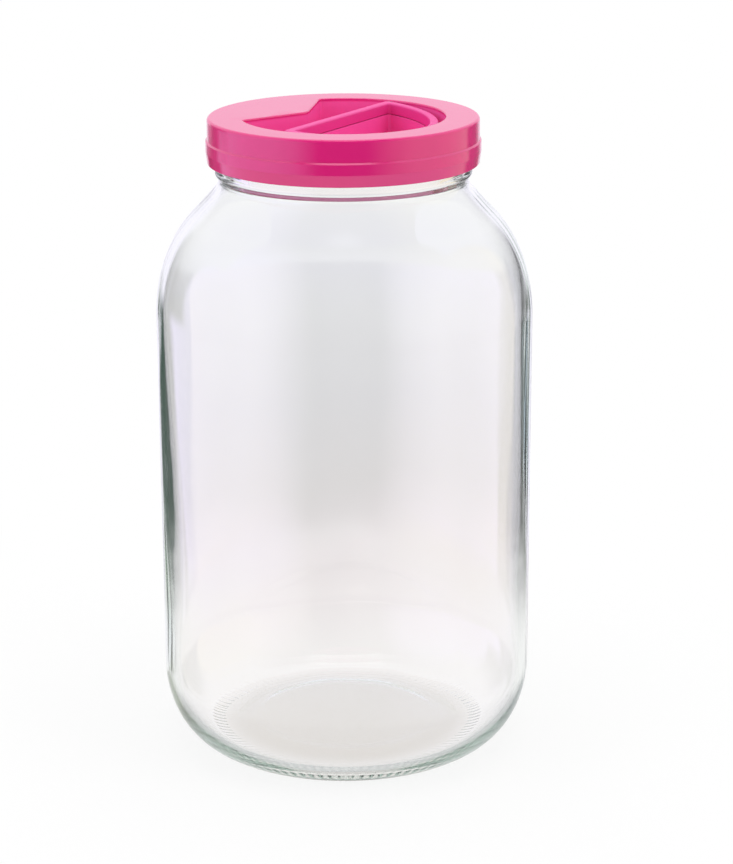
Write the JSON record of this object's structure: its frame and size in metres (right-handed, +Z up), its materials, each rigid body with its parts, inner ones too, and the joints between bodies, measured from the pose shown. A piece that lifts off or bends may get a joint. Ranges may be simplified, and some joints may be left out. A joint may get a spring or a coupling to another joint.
{
  "type": "glass storage jar",
  "caption": "Clear glass storage jar with a round shoulder and wide neck, closed by a pink plastic screw lid with a fold-flat carry handle in its recessed top.",
  "frame": {"origin": "on the jar's axis, in the plane that its base stands on", "axes": "+Z up along the jar's axis, +X to the right and +Y away from someone who stands where the picture was taken"},
  "size_m": [0.1572, 0.1572, 0.2708],
  "materials": {
    "clear_glass": "clear, fire-polished",
    "seal_ring": "soft, matt",
    "lid_plastic": "moulded, glossy",
    "handle_plastic": "moulded, glossy"
  },
  "bodies": {
    "jar": {"jar_body": "clear_glass"},
    "seal_ring": {"lid_seal": "seal_ring"},
    "lid": {"lid_shell": "lid_plastic"},
    "handle": {"carry_handle": "handle_plastic"}
  },
  "joints": [
    {"name": "lid_rise", "type": "slide", "parent": "jar", "child": "seal_ring", "axis": [0, 0, 1], "range_m": [0, 0.0241]},
    {"name": "lid_turn", "type": "hinge", "parent": "seal_ring", "child": "lid", "pos_m": [0, 0, 0.2613], "axis": [0, 0, 1], "range_deg": [0, 720]},
    {"name": "handle_swing", "type": "hinge", "parent": "lid", "child": "handle", "pos_m": [-0.00171, 0.00103, 0.2683], "axis": [-0.515, -0.8572, 0], "range_deg": [0, 165]}
  ],
  "couplings": [
    {"joint": "lid_rise", "follows": "lid_turn", "m_per_rad": 0.0019099}
  ]
}
